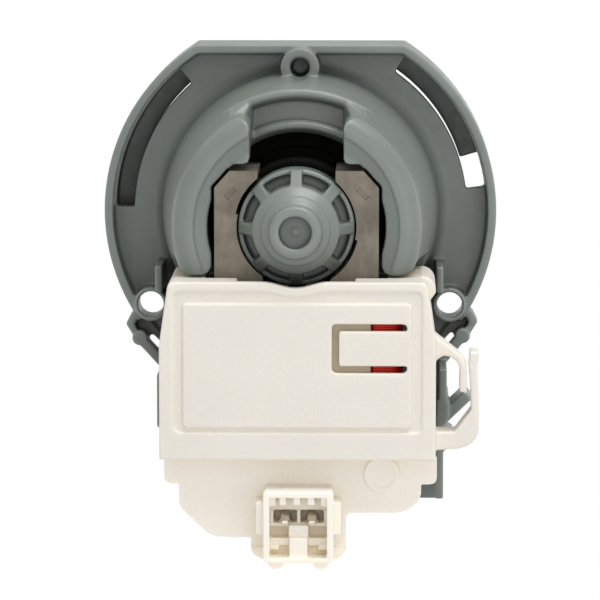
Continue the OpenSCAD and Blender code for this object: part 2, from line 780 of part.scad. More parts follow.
// Plate below the flange that carries the cheeks
module back_plate() {
  low_x = cheek_right - cheek_step;
  between(0, plate_t)
    polygon([
      [-cheek_left, knee_z[0]], [-cheek_left, cheek_left_low], [-cheek_left + 1, cheek_left_low],
      [-cheek_left + 1, apron_step[1]], apron_step, [apron_step[0], apron_low], [low_x, apron_low],
      [low_x, cheek_step_z], [cheek_right, cheek_step_z], [cheek_right, knee_z[1]], apron_neck, apron_root,
      [-apron_root[0], apron_root[1]], [-apron_neck[0], apron_neck[1]]
    ]);
}

// Cheeks and struts that guide the stator below the flange
module cradle() {
  left_x = -cheek_left + cheek_t / 2;
  right_x = cheek_right - cheek_t / 2;
  low_x = cheek_right - cheek_step;
  rib_low = -screw_drop + screw_boss_r;
  between(0, cheek_back) {
    bar([left_x, knee_z[0]], [left_x, cheek_left_low], cheek_t);
    bar([right_x, knee_z[1]], [right_x, cheek_step_z], cheek_t);
    bar([low_x - cheek_t / 2, cheek_step_z + 2], [low_x - cheek_t / 2, cheek_right_low], cheek_t);
    translate([right_x, foot_block[0]]) square([cheek_t + foot_block[2], foot_block[1]], center = true);
    polygon([
      [low_x - 1, cheek_wedge[0]], [low_x + cheek_wedge[4], cheek_wedge[1]],
      [low_x + cheek_wedge[4], cheek_wedge[2]], [low_x - 1, cheek_wedge[3]]
    ]);
  }
  strut([left_x, knee_z[0]], strut_heads[0], ear_corners[0], -1);
  strut([right_x, knee_z[1]], strut_heads[1], ear_corners[1], 1);
  between(cheek_back * 0.3, cheek_back * 0.8) bar(prong_ends[0], prong_ends[1], prong_t);
  both_sides() between(0, boss_rib[3]) translate([boss_rib[0], rib_low]) square([boss_rib[1], boss_rib[2]]);
}

module pump_body() {
  color(body_grey) lay() difference() {
    union() {
      difference() {
        union() {
          flange();
          back_plate();
          rotate_extrude() polygon(housing_profile());
        }
        horn_cuts();
        housing_hollows();
        hook_slots();
        translate([0, 0, -1]) cylinder(r = can_in_r, h = far);
      }
      can();
      screw_bosses();
      cradle();
      ring(spigot_r - spigot_wall, spigot_r, -spigot_l, plate_t);
    }
    screw_holes();
    translate([0, 0, -1]) cylinder(r = bearing_r + fit_gap / 2, h = bearing_in + 1);
    ring(seal_in_r - fit_gap, seal_in_r + seal[0] + fit_gap, -1, seal_sunk);
  }
}

// Rubber ring in the groove of the mounting face
module flange_seal() {
  out_r = seal_in_r + seal[0];
  front = seal_sunk - seal[1];
  crown = 0.4;
  color(rubber_black) lay() rotate_extrude()
    polygon([
      [seal_in_r, seal_sunk], [out_r, seal_sunk], [out_r, front + crown], [out_r - crown, front],
      [seal_in_r + crown, front], [seal_in_r, front + crown]
    ]);
}

// Rubber base under the core, with a sleeve up the open side of the can
module stator_damper() {
  in_r = can_r + fit_gap / 2;
  half_room = pole_opening / 2 - 2 * fit_gap;
  root = core_front - damper_t / 2;
  color(rubber_black) lay() {
    difference() {
      ring(in_r, horn_in_r - fit_gap, floor_back, core_front);
      translate([-far, -far - horn_drop, 0]) cube([2 * far, far, far]);
    }
    intersection() {
      union() {
        ring(in_r, in_r + damper_sleeve_t, root, can_back - damper_sleeve_drop);
        ring(in_r, damper_pad[0], root, core_front + damper_pad[1]);
      }
      translate([-half_room, 0, 0]) cube([2 * half_room, far, far]);
    }
  }
}

// Laminated core with two legs, a yoke and stepped pole faces
module stator_core() {
  half = core_w / 2;
  bore_r = can_r + pole_gap;
  inner_x = half - leg_w;
  color(steel_brown) lay() difference() {
    between(core_front, core_back)
      polygon([
        [-half, -core_drop], [half, -core_drop], [half, core_rise - core_chamfer[1]],
        [half - core_chamfer[0], core_rise], [-half + core_chamfer[0], core_rise],
        [-half, core_rise - core_chamfer[1]]
      ]);
    translate([0, 0, core_front - 1]) cylinder(r = bore_r, h = stack_t + 2);
    translate([-pole_opening / 2, 0, core_front - 1]) cube([pole_opening, far, stack_t + 2]);
    translate([-inner_x, yoke_top, core_front - 1]) cube([2 * inner_x, -yoke_top, stack_t + 2]);
    ring_sector(bore_r - 1, bore_r + pole_step, 110, 58, core_front - 1, core_back + 1);
    ring_sector(bore_r - 1, bore_r + pole_step, 290, 58, core_front - 1, core_back + 1);
    for (side = [-1, 1])
      translate([side * dimple_place[0], dimple_place[1], core_back - dimple[2]]) rotate([0, 0, side * 135])
        translate([-dimple[0] / 2, -dimple[1] / 2, 0]) cube([dimple[0], dimple[1], 1]);
  }
}

// Former round one leg, with a flange at each end
module bobbin() {
  mid = [leg_x, core_mid_d];
  difference() {
    union() {
      upright(bobbin_low, bobbin_top) polygon(rounded_points(mid, tube_half, 0.8, 3));
      for (low = [bobbin_low, winding_top])
        upright(low, low + bobbin_flange_t) polygon(rounded_points(mid, flange_half, 1.2, 3));
    }
    upright(bobbin_low - 1, bobbin_top + 1) translate(mid)
      square([leg_w + 2 * fit_gap, stack_t + 2 * fit_gap], center = true);
  }
}

module bobbin_left() {
  color(cover_white) lay() mirror([1, 0, 0]) bobbin();
}

module bobbin_right() {
  color(cover_white) lay() bobbin();
}

// Inner winding of one leg, as one solid under the outer layer
module coil_pack() {
  mid = [leg_x, core_mid_d];
  inset = (wire_r + skin_gap) / cos(45 / corner_steps);
  half = [for (h = wire_half) h - inset];
  upright(winding_low + fit_gap / 2, winding_top - fit_gap / 2)
    difference() {
      polygon(rounded_points(mid, half, coil_corner_r - inset, corner_steps));
      translate(mid) square([for (h = tube_half) 2 * h + 2 * press_gap], center = true);
    }
}

module coil_left() {
  color(wire_red) lay() mirror([1, 0, 0]) coil_pack();
}

module coil_right() {
  color(wire_red) lay() coil_pack();
}

// Path of the outer layer: x, height and depth of each ring, turn after turn up the leg
function wire_path() =
  let (
    loop = rounded_points([leg_x, core_mid_d], wire_half, coil_corner_r, corner_steps),
    per_turn = len(loop),
    low = winding_low + 2 * wire_r,
    count = turns * per_turn,
    turn_points = [
      for (i = [0:count]) let (p = loop[i % per_turn]) [p[0], low + wire_pitch * i / per_turn, p[1]]
    ],
    start_run = [0, 0, -2 * wire_r],
    end_run = [0, 0, 2 * wire_r]
  )
  concat([turn_points[0] + start_run], turn_points, [turn_points[count] + end_run]);

// Least clear distance between one turn and another, measured on the path's points
function least_gap(path, apart) =
  min([
    for (i = [0:len(path) - 1], j = [i + apart:1:len(path) - 1]) norm(path[i] - path[j])
  ]) - 2 * wire_r;

module wire_layer() {
  path = wire_path();
  echo(turns = turns, least_gap = least_gap(path, 4 * corner_steps));
  tube(path, wire_r);
}

module coil_left_wire() {
  color(wire_red) lay() mirror([1, 0, 0]) wire_layer();
}

module coil_right_wire() {
  color(wire_red) lay() wire_layer();
}

module thermal_protector() {
  box = [protector_right - protector[0], protector_right, -protector_drop, -protector_drop - protector[1]];
  color([0.70, 0.65, 0.54]) lay()
    between(coil_back + fit_gap, coil_back + fit_gap + protector[2]) polygon(box_points(box, 1));
}

// Leads from the windings round the yoke to the blades
module coil_leads() {
  start_z = bobbin_low - fit_gap;
  color(wire_red) lay()
    for (side = [-1, 1])
      let (blade_x = socket_x + side * blade_pitch / 2)
        tube([
          [side * lead_x, start_z, lead_d], [side * lead_x, start_z - 3, lead_d],
          [side * lead_x, -core_drop - 4, lead_d], [side * (lead_x - 3), -core_drop - 8, blade_front - 4],
          [blade_x + side * 3, blade_z + 2, blade_front - 5], [blade_x, blade_z, blade_front - 4],
          [blade_x, blade_z, blade_front - fit_gap / 2]
        ], lead_r);
}

// Points of an upper edge that dips below the can, from right to left
function dipped_edge(top) =
  let (steps = 10)
    [
      for (i = [steps:-1:-steps])
        [cover_dip[0] * i / steps, top - cover_dip[1] * (1 + cos(180 * i / steps)) / 2]
    ];

// Outline of the sunk border, whose upper edge follows the dip
function border_outline() =
  let (
    r = border_corner_r,
    left = border_box[0] + r,
    right = border_box[1] - r,
    top = border_box[2] - r,
    low = border_box[3] + r
  )
  concat(
    arc(right, top, r, 0, 90, 5), dipped_edge(border_box[2]), arc(left, top, r, 90, 180, 5),
    arc(left, low, r, 180, 270, 5), arc(right, low, r, 270, 360, 5)
  );

// Outline of the right shoulder, which the taper leaves out
function shoulder_outline() =
  let (
    r = shoulder[0],
    top = -cover_top_drop + setback,
    inner_x = cover_right - r - setback
  )
  concat(
    [[inner_x, top]], arc(cover_right - r, top - r, r, 90, 0, 5),
    [[cover_right, top - shoulder[1]], [inner_x + cover_wall, top - shoulder[2]], [inner_x, top - shoulder[2]]]
  );

// Outline of the cover, drawn in by a given amount
function cover_outline(inset) =
  let (
    top = -cover_top_drop - inset,
    low = -cover_low_drop + inset,
    left = -cover_left + inset,
    right = cover_right - inset,
    r = max(cover_corner_r - inset, 0.2)
  )
  concat(
    [[left, low], [right, low], [right, -cover_taper_drop]],
    arc(right - cover_taper - r, top - r, r, 0, 90, 4),
    dipped_edge(top),
    arc(left + cover_taper + r, top - r, r, 90, 180, 4),
    [[left, -cover_taper_drop]]
  );

// Upper hook of the cable clip, root at the cover's right side
function upper_hook() =
  let (
    out_x = cover_right + clip_reach,
    in_x = out_x - clip_t,
    bend_x = out_x - clip_bend,
    root = cover_right - cover_wall / 2,
    bend_z = upper_hook_z[2],
    tip_z = upper_hook_z[3]
  )
  concat(
    [[root, upper_hook_z[0]]],
    arc(bend_x, bend_z, clip_bend, 55, 0, 6),
    [[out_x, tip_z], [in_x, tip_z + 0.4]],
    arc(bend_x, bend_z, clip_bend - clip_t, 0, 85, 6),
    [[cover_right + cover_wall, bend_z + clip_bend - clip_t], [root, upper_hook_z[1]]]
  );

// Lower hook of the cable clip, an arm with an upright finger
function lower_hook() =
  let (
    in_x = cover_right + clip_reach + clip_mouth,
    out_x = in_x + finger_t,
    root = cover_right - cover_wall / 2,
    bend_r = 5,
    low_z = lower_hook_z[0],
    bend_z = lower_hook_z[2],
    tip_z = lower_hook_z[3],
    waist_z = tip_z - 3.4
  )
  concat(
    [[root, low_z], [out_x - bend_r + 0.1, low_z + 0.4]],
    arc(out_x - bend_r, bend_z, bend_r, 280, 360, 5),
    [[out_x, bend_z + 4.4], [out_x - 0.5, waist_z], [out_x, tip_z], [in_x, tip_z + 0.3]],
    [[in_x - 0.2, waist_z], [in_x + 0.2, waist_z - 5], [in_x + 0.4, bend_z + 4.2]],
    [[in_x - 3.5, lower_hook_z[1]], [root, lower_hook_z[1]]]
  );

module coil_cover() {
  span = cover_left + cover_right;
  top_low = -cover_top_drop - cover_dip[1] - 2 * cover_wall;
  top_h = -top_low;
  color(cover_white) lay() difference() {
    union() {
      between(panel_front, panel_back) polygon(cover_outline(0));
      difference() {
        between(cover_front, panel_front + cross_by) polygon(cover_outline(0));
        between(cover_front - 1, panel_front) polygon(cover_outline(cover_wall));
        // The top wall is shorter, and shortest under the can
        translate([-shoulder_in, top_low, cover_front - 1])
          cube([2 * shoulder_in, top_h, cover_side_d - cover_top_d + 1]);
        translate([-can_r, top_low, cover_front - 1])
          cube([2 * can_r, top_h, cover_side_d - cover_mid_d + 1]);
        // The bottom wall stops at the terminal carrier
        translate([-cover_left + cover_wall, -cover_low_drop - 1, cover_front - 1])
          cube([span - 2 * cover_wall, cover_wall + 2, carrier_back + fit_gap - cover_front + 1]);
      }
      between(border_back - cross_by, pad_back) polygon(box_points(pad_box, pad_corner_r));
      between(clip_front, clip_back) polygon(upper_hook());
      between(clip_front, clip_back) polygon(lower_hook());
      between(cover_front + setback, panel_back - shoulder[3]) polygon(shoulder_outline());
    }
    difference() {
      between(border_back, panel_back + 1) polygon(border_outline());
      between(border_back - 1, pad_back + 2) polygon(box_points(pad_box, pad_corner_r));
    }
    between(panel_front - 1, pad_back + 1) difference() {
      polygon(box_points(tongue_box, 1));
      polygon(box_points([
        tongue_box[0] + tongue_slot, tongue_box[1] + 2,
        tongue_box[2] - tongue_slot, tongue_box[3] + tongue_slot
      ], 0.5));
    }
  }
}

// Outline of the carrier's plate with its side tabs and stepped lower edge
function carrier_outline() =
  let (
    plate_left = -cover_left + cover_wall + carrier_room,
    plate_right = cover_right - cover_wall - carrier_room,
    tab_left = -cover_left + 0.7,
    tab_right = cover_right + 0.4,
    tab_top = -cover_low_drop - 0.5,
    tab_low = -62.2,
    tab_r = 1.5,
    foot_left = socket_left - 3.3,
    foot_right = socket_right + 2.9,
    foot_low = socket_z[1] + 0.6
  )
  concat(
    [[plate_left, carrier_top], [plate_left, tab_top], [tab_left, tab_top]],
    arc(tab_left + tab_r, tab_low + tab_r, tab_r, 180, 270, 4),
    [[-28.4, tab_low], [-28.4, -67.2], [-27.6, -68.6], [-21.7, -74.2], [-19.6, -75.2], [-16, -75.4]],
    [[foot_left, -75.4], [foot_left, foot_low + 0.6], [foot_left + 0.8, foot_low]],
    [[foot_right - 0.8, foot_low], [foot_right, foot_low + 0.8], [foot_right, -70.2]],
    [[foot_right + 1, -69.3], [24, -69.3]],
    [[27, -68.6], [29.6, -66.4], [30.2, -64.6], [30.2, tab_low]],
    arc(tab_right - tab_r, tab_low + tab_r, tab_r, 270, 360, 4),
    [[tab_right, tab_top], [plate_right, tab_top], [plate_right, carrier_top]]
  );

// Two blade slots through the socket's root
module blade_slots() {
  for (side = [-1, 1])
    between(socket_front - 1, hollow_floor + 1)
      translate([socket_x + side * blade_pitch / 2, blade_z])
        square([blade[0] + 2 * press_gap, blade[1] + 2 * press_gap], center = true);
}

// Stepped block that fills the hollow's root, with a chamber round each blade
module socket_block(top, low, half_w, front) {
  last = len(socket_steps) - 1;
  chamber_w = blade_pitch - chamber[0];
  edges = concat([top], [for (i = [0:last - 1]) blade_z + socket_steps[i][0]], [low]);
  faces = [for (i = [0:last], k = [0, 1]) [edges[i + k], socket_back - socket_steps[i][1]]];
  difference() {
    translate([socket_x - half_w, 0, 0]) rotate([90, 0, 90]) linear_extrude(2 * half_w)
      polygon(concat(faces, [[low, front], [top, front]]));
    for (side = [-1, 1])
      between(hollow_floor + setback, socket_back)
        translate([socket_x + side * blade_pitch / 2 - chamber_w / 2, blade_z - chamber[1]])
          square([chamber_w, chamber[1] + chamber[2]]);
    blade_slots();
  }
}

// Teeth, corner steps, rails, stepped block, latch block and key block inside the socket
module socket_guides() {
  top = socket_z[0] - socket_wall + guide_sink;
  low = socket_z[1] + socket_floor_t - guide_sink;
  half_w = socket_w / 2 - socket_wall + guide_sink;
  guide_front = hollow_floor - cross_by;
  for (i = [-1:1])
    between(guide_front, socket_back - socket_tooth[2])
      translate([socket_x - tooth_shift + i * tooth_pitch - socket_tooth[0] / 2, top - socket_tooth[1]])
        square([socket_tooth[0], socket_tooth[1]]);
  for (side = [-1, 1]) {
    between(guide_front, socket_back - corner_step[2])
      translate([socket_x + side * (half_w - corner_step[0] / 2), top - corner_step[1] / 2])
        square([corner_step[0], corner_step[1]], center = true);
    between(guide_front, socket_back - side_rail[3])
      translate([socket_x + side * (half_w - side_rail[0] / 2), blade_z - side_rail[2]])
        square([side_rail[0], side_rail[1]], center = true);
  }
  socket_block(top, low, half_w, guide_front);
  between(guide_front, socket_back - latch_block[3])
    translate([socket_x - latch_block[0] / 2, blade_z - latch_block[2] - latch_block[1]])
      square([latch_block[0], latch_block[1]]);
  between(guide_front, socket_back - key_block[2])
    translate([socket_x - key_block[0] / 2, low]) square([key_block[0], key_block[1]]);
}

module socket() {
  hollow = [socket_left + socket_wall, socket_right - socket_wall, socket_z[0] - socket_wall,
    socket_z[1] + socket_floor_t];
  difference() {
    union() {
      between(socket_front, socket_back)
        polygon(box_points([socket_left, socket_right, socket_z[0], socket_z[1]], 0.8));
      // Latch ears at the sides
      for (side = [-1, 1])
        between(carrier_back - cross_by, socket_back - 3)
          translate([socket_x + side * (socket_w / 2 + latch_ear[0] / 2 - 0.4), blade_z + latch_ear[2]])
            square([latch_ear[0], latch_ear[1]], center = true);
      // Half-round feet at the bottom
      for (side = [-1, 1])
        between(carrier_back - cross_by, socket_back - 1)
          translate([socket_x + side * socket_foot[0], socket_z[1] + 0.4]) circle(socket_foot[1]);
    }
    between(hollow_floor, socket_back + 1) polygon(box_points(hollow, 0.5));
    blade_slots();
  }
  socket_guides();
}

module terminal_carrier() {
  tray_top = -core_drop;
  color(cover_white) lay() {
    difference() {
      union() {
        between(core_back, carrier_back) polygon(carrier_outline());
        // Tray under the yoke, with a rib below it
        between(core_back - tray_d, core_back + cross_by)
          translate([-tray_half_w, tray_top - tray_t]) square([2 * tray_half_w, tray_t]);
        for (x = tray_rib_x)
          between(core_back - tray_rib[2], core_back + cross_by)
            translate([x, tray_top - tray_rib[1]]) square([tray_rib[0], tray_rib[1]]);
        between(carrier_back - cross_by, carrier_back + mark[3])
          translate([mark[0], mark[1]]) circle(mark[2]);
      }
      between(hollow_floor, carrier_back + 1)
        polygon(box_points([socket_left + 1, socket_right - 1, socket_z[0] - 1, socket_z[1] + 1], 0.8));
      blade_slots();
      for (side = [-1, 1])
        upright(tray_top - tray_t - 1, tray_top + 1)
          translate([side * lead_x, lead_d]) circle(lead_r + fit_gap);
      // Shallow ring round the spigot mark
      between(carrier_back + mark[3] - 0.3, carrier_back + far)
        translate([mark[0], mark[1]]) circle(mark[2] - 1);
    }
    socket();
  }
}

// Contact blade with a pointed tip and a stop shoulder behind the socket
module terminal(side) {
  half = blade[0] / 2;
  tip = 1.4;
  color([0.78, 0.77, 0.74]) lay() translate([socket_x + side * blade_pitch / 2, blade_z, 0]) {
    upright(-blade[1] / 2, blade[1] / 2)
      polygon([
        [-half, blade_front], [half, blade_front], [half, blade_back - tip], [half - 0.7, blade_back],
        [-half + 0.7, blade_back], [-half, blade_back - tip]
      ]);
    upright(-blade[1] / 2, blade[1] / 2) polygon([
      [-half - 0.6, blade_front], [half + 0.6, blade_front], [half + 0.6, socket_front],
      [-half - 0.6, socket_front]
    ]);
  }
}

module terminal_left() {
  terminal(-1);
}

module terminal_right() {
  terminal(1);
}

// Disc that closes the can's mouth and carries the front bush
module front_bearing_carrier() {
  groove_r = bearing_r + fit_gap / 2 - 2 * ring_r - 2 * press_gap;
  groove_mid = bearing_in / 2;
  color([0.80, 0.80, 0.78]) lay() difference() {
    union() {
      translate([0, 0, bearing_front]) cylinder(r = bearing_flange[0], h = bearing_flange[1]);
      translate([0, 0, bearing_front]) cylinder(r = bearing_r, h = bearing_in - fit_gap - bearing_front);
      translate([0, 0, bearing_front]) cylinder(r = bush_r + 2.6, h = front_bush_back - bearing_front);
    }
    translate([0, 0, bearing_front - 1]) cylinder(r = bush_r + press_gap, h = far);
    ring(groove_r, far, groove_mid - ring_r - fit_gap / 2, groove_mid + ring_r + fit_gap / 2);
    ring(bush_r + 4.4, groove_r - 1.6, groove_mid - 0.6, far);
  }
}

module carrier_o_ring() {
  mid_r = bearing_r + fit_gap / 2 - ring_r - press_gap;
  color(rubber_black) lay() translate([0, 0, bearing_in / 2])
    rotate_extrude() translate([mid_r, 0]) circle(ring_r);
}

module bush(front, length) {
  color([0.25, 0.24, 0.23]) lay() ring(shaft_r + run_gap, bush_r, front, front + length);
}

module front_bush() {
  bush(bearing_front, front_bush_l);
}

module rear_bush() {
  bush(holder_back - rear_bush_l, rear_bush_l);
}

// Rubber cup that holds the rear bush in the can's neck
module rear_bush_holder() {
  color(rubber_black) lay() {
    ring(bush_r + press_gap, holder_r, holder_front, holder_back);
  }
}

module rotor_shaft() {
  chamfer = 0.4;
  color([0.75, 0.75, 0.76]) lay() rotate_extrude()
    polygon([
      [0, dog_front], [shaft_r - chamfer, dog_front], [shaft_r, dog_front + chamfer],
      [shaft_r, shaft_back - chamfer], [shaft_r - chamfer, shaft_back], [0, shaft_back]
    ]);
}

// Plastic core of the rotor, with a flange at each end of the magnet
module rotor_carrier() {
  in_r = shaft_r + press_gap;
  color([0.15, 0.15, 0.16]) lay() {
    ring(in_r, magnet_in_r - press_gap, rotor_front, rotor_back);
    ring(in_r, bush_r + 0.6, rotor_back - cross_by, rear_washer_front - end_play);
    for (front = [rotor_front, magnet_back]) ring(in_r, rotor_flange_r, front, front + rotor_end_t);
  }
}

module rotor_magnet() {
  color([0.20, 0.20, 0.21]) lay() ring(magnet_in_r, magnet_r, magnet_front, magnet_back);
}

module thrust_washer(front) {
  color([0.85, 0.83, 0.78]) lay() ring(shaft_r + press_gap, bush_r + 0.6, front, front + washer_t);
}

module front_thrust_washer() {
  thrust_washer(rotor_front - end_play - washer_t);
}

module rear_thrust_washer() {
  thrust_washer(rear_washer_front);
}

// Dog on the shaft that drives the impeller after a part turn
module drive_dog() {
  tip_r = hub_r - hub_wall - dog_room;
  color([0.20, 0.20, 0.21]) lay() difference() {
    union() {
      translate([0, 0, dog_front]) cylinder(r = dog_hub[0], h = dog_hub[1]);
      ring_sector(dog_hub[0] - cross_by, tip_r, 90 - dog_span / 2, dog_span, dog_front + setback,
        dog_back - setback);
    }
    translate([0, 0, dog_front - 1]) cylinder(r = shaft_r + press_gap, h = dog_hub[1] + 2);
  }
}

// Vanes on a hollow hub that turns freely on the shaft between the dog's stops
module impeller() {
  inner_r = hub_r - hub_wall;
  stop_in_r = dog_hub[0] + dog_room;
  vane_back = hub_back - 2 * setback;
  color([0.16, 0.17, 0.18]) lay() {
    difference() {
      union() {
        translate([0, 0, chamber_front]) cylinder(r = hub_r, h = hub_back - chamber_front);
        ring(hub_r - cross_by, plate_r, hub_back - setback - vane_plate_t, hub_back - setback);
        for (i = [0:vane_count - 1])
          rotate([0, 0, 90 + i * 360 / vane_count])
            translate([hub_r - cross_by, -vane_t / 2, vane_back - vane_h])
              cube([impeller_r - hub_r + cross_by, vane_t, vane_h]);
      }
      translate([0, 0, chamber_front - 1]) cylinder(r = inner_r, h = chamber_back - chamber_front + 1);
      translate([0, 0, chamber_front - 1]) cylinder(r = shaft_r + run_gap, h = far);
    }
    ring_sector(stop_in_r, inner_r + cross_by, 270 - dog_span / 2, dog_span, chamber_front,
      chamber_back + cross_by);
  }
}

// Rubber cheeks on both sides of the impeller's stop
module dog_buffer() {
  inner_r = hub_r - hub_wall;
  color(rubber_black) lay()
    for (from = [270 - dog_span / 2 - buffer_span, 270 + dog_span / 2])
      ring_sector(dog_hub[0] + dog_room, inner_r - press_gap, from, buffer_span, chamber_front,
        chamber_back - press_gap);
}

// Cap that closes the hub in front of the dog
module hub_cap() {
  cap_r = hub_r - cross_by - fit_gap;
  edge = 1;
  color([0.16, 0.17, 0.18]) lay() rotate_extrude()
    polygon(concat(
      [[0, chamber_front], [cap_r, chamber_front]],
      arc(cap_r - edge, cap_front + edge, edge, 0, -90, 4),
      [[0, cap_front - edge / 2]]
    ));
}

pump_body();
flange_seal();
stator_damper();
stator_core();
bobbin_left();
bobbin_right();
coil_left();
coil_right();
coil_left_wire();
coil_right_wire();
thermal_protector();
coil_leads();
coil_cover();
terminal_carrier();
terminal_left();
terminal_right();
front_bearing_carrier();
carrier_o_ring();
front_bush();
rear_bush();
rear_bush_holder();
rotor_shaft();
rotor_carrier();
rotor_magnet();
front_thrust_washer();
rear_thrust_washer();
drive_dog();
impeller();
dog_buffer();
hub_cap();
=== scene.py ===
"""Looks of a washing machine drain pump, dressed on its solids."""

import json
import math
import random

import bmesh
import bpy
from mathutils import Matrix, Vector


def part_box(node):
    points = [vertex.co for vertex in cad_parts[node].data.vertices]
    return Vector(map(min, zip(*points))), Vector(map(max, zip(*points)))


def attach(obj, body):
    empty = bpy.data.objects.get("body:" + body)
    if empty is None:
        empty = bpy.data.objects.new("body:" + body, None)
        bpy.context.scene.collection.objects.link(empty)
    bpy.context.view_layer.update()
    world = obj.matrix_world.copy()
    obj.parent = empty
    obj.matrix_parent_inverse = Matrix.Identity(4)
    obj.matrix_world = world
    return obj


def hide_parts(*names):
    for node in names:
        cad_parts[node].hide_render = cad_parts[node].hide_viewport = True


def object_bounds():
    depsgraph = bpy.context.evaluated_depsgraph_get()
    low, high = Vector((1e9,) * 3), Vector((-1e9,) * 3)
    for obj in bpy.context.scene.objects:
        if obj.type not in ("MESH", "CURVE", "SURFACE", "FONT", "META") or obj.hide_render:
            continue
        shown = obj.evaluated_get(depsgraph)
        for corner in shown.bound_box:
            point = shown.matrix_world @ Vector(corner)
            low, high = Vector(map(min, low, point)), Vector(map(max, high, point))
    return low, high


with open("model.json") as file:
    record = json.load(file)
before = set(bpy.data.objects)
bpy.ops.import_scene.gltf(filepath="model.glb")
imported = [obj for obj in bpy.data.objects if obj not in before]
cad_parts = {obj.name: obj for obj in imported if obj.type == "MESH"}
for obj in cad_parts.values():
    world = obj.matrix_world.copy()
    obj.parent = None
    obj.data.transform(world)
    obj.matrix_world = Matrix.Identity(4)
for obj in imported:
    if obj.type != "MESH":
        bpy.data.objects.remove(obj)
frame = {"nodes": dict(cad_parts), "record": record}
cad_low, cad_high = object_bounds()
MM = 0.001
SIDES = ("left", "right")
SLOTS = {row["node"]: row["material_slot"] for row in frame["record"]["subparts"]}
BODIES = {node: body for body, nodes in frame["record"]["behaviour"]["bodies"].items() for node in nodes}
# Finish of each node: that of its slot, apart from the carrier, whose paler copy of the cover plastic is
# painted light
FINISHES = {**SLOTS, "terminal_carrier": "cover_plastic_painted_lit"}

# Camera at the photograph's viewing angle, for a picture of 600 by 600 pixels
CAMERA_AZIMUTH = 1.389
CAMERA_ELEVATION = 7.365
CAMERA_PLACE = Vector((23.484, -978.253, 103.039)) * MM
CAMERA_LENS = 234.24
CAMERA_SENSOR = 36
# How far the camera sees, in metres
CAMERA_REACH = 20

# Sizes of the details are in millimetres, and depths are measured behind the mounting face

# Cell of the grid that joins and rounds each moulding
CELLS = {
    "pump_body": 0.3,
    "coil_cover": 0.22,
    "terminal_carrier": 0.2,
    "impeller": 0.15,
    "hub_cap": 0.12,
    "front_bearing_carrier": 0.2,
    "flange_seal": 0.2,
    "stator_damper": 0.2,
    "thermal_protector": 0.12,
    "coil_leads": 0.12,
    "bobbin_left": 0.2,
    "bobbin_right": 0.2,
    "terminal_left": 0.07,
    "terminal_right": 0.07,
}
# Rounds of smoothing: the usual count, and where a moulding is softer or crisper
ROUNDS = 8
OTHER_ROUNDS = {"coil_cover": 14, "terminal_left": 4, "terminal_right": 4}
SMOOTHING = 0.5
# Share of a moulding's faces that stays
KEPT_FACES = 0.15
# Points closer than this are one
WELD = 0.002
# Edges sharper than this stay sharp, in degrees: usual, and on the core's sheets
SHARP_ANGLE = 50
SHEET_SHARP_ANGLE = 30

# Ridges along the ledge between the horns: radius, section radius, reach in degrees
LEDGE_RIDGES = [(30.9, 1.35, 35), (23.1, 1.25, 30)]
LEDGE_DEPTH = 28.4
RIDGE_SIDES = 12
# Saddle between the ledge and each horn's end, as corners of (x, z, depth)
HORN_SADDLE = [
    (10.9, 24.0, 28.0), (10.9, 29.9, 28.0), (17.6, 26.6, 28.0),
    (13.5, 24.6, 34.0), (16.4, 25.9, 34.0),
]
# Fine crease along each horn's crest: radius, depth, section radius, first and last angle
CREST_CREASE = (25.2, 46.6, 0.42, -24, 62)
CREASE_STEPS = 40
# Toe at the upper end of each horn, beside the core, as an outline of (x, z), and its depths
HORN_TOE = [(11.4, 19.6), (11.3, 16.5), (11.7, 15.6), (12.6, 15.2), (15.0, 15.2), (16.6, 16.4)]
HORN_TOE_DEPTHS = (37, 45.3)
# Heads of the left and the right strut
STRUT_HEADS = [(-40.2, -31.9), (40.7, -31.1)]
# Web between ear and back plate, as points outwards and up from a strut's head, and its depths
EAR_WEB = [
    (1.8, 4.9), (-1.2, 5.4), (-5.7, -0.6), (-5.7, -2.0), (-2.8, 0.2), (-2.1, -0.4), (-2.0, -1.9),
    (-0.1, -1.7), (1.4, 0.1),
]
EAR_WEB_DEPTHS = (0.6, 3.6)
# Gate mark on the tail's floor: radius, height, depth of the floor
GATE_MARK = (0.9, 0.35, 55.0)
# Toes of the carrier's tab beside the socket, as outlines of (x, z), and their depths
CARRIER_TOES = [
    [(-11.0, -77.6), (-10.9, -78.6), (-10.0, -79.7), (-8.4, -80.6), (-6.4, -81.0), (-4.6, -80.4),
     (-4.6, -77.6)],
    [(12.0, -77.4), (11.9, -78.4), (11.0, -79.6), (9.6, -80.6), (7.8, -81.0), (6.0, -80.4), (6.0, -77.4)],
]
CARRIER_TOE_DEPTHS = (45.6, 48.2)
# Spring leaf on each blade, as (depth, height above the blade's middle), its width and thickness
LEAF_PATH = [(46.8, 2.1), (49.6, 1.8), (52.4, 0.95), (54.3, 0.3)]
LEAF_SIZE = (2.1, 0.4)

# Winding wire: radius, sides of its section, pitch of the turns in wire radii
WIRE_R = 0.24
WIRE_SIDES = 6
TURN_PITCH = 2.04
# Turn of a winding: corner radius, unevenness
TURN_CORNER = 3.0
TURN_JITTER = 0.03
# Bulge of a winding beside the thermal protector: height, and the width in which it rises
PROTECTOR_BULGE = 2.6
BULGE_RUN = 0.5
# Core sheet: thickness, gap to the next one, unevenness of the stack
SHEET_T = 0.5
SHEET_GAP = 0.04
SHEET_JITTER = 0.035
# Place of the cut through the core's dimples, from its rear face
DIMPLE_CUT = 0.15

# Studio dome, as (height, tone), where 0.5 is the horizon and 1 is straight up
DOME_TONES = [(0.5, 0.35), (0.7, 0.55), (1.0, 1.0)]
DOME_STRENGTH = 1.05
# Sun through the dome: place, strength, width in degrees
SUN_FROM = (0.25, -0.25, 1.0)
SUN_STRENGTH = 2.1
SUN_ANGLE = 40
# Softbox close to the part, in metres and watts
SOFTBOX_PLACE = Vector((0.08, -0.30, 0.0))
SOFTBOX_SIZE = 0.3
SOFTBOX_POWER = 0.21
